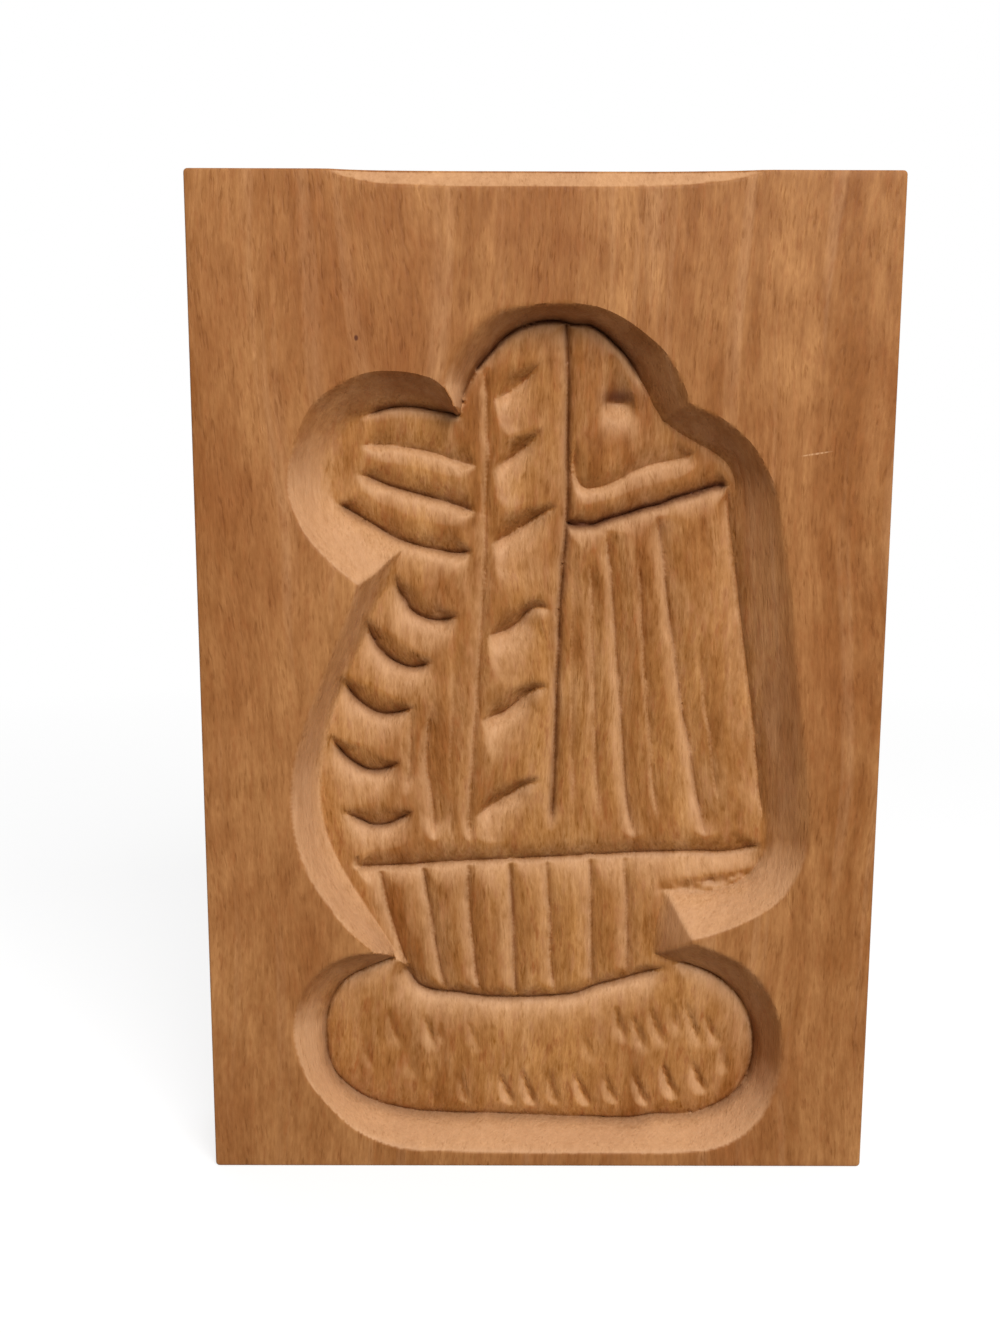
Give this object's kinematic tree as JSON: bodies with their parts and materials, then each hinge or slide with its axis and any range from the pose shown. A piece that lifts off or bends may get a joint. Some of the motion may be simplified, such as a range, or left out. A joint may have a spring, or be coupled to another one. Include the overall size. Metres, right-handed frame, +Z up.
{
  "type": "speculaas board",
  "caption": "Carved wooden speculaas board: one beech plank, 135 x 200 x 25 mm, with a sailing-boat biscuit mould hollowed into its face.",
  "frame": {"origin": "centre of the plank's lower end, on the surface it stands on", "axes": "+Z up the plank's length, +X to the right seen from the carved face, the carved face towards -Y"},
  "size_m": [0.135, 0.025, 0.2],
  "materials": {
    "wood": "oiled beech, satin"
  },
  "bodies": {
    "root": {"board": "wood"}
  },
  "joints": []
}
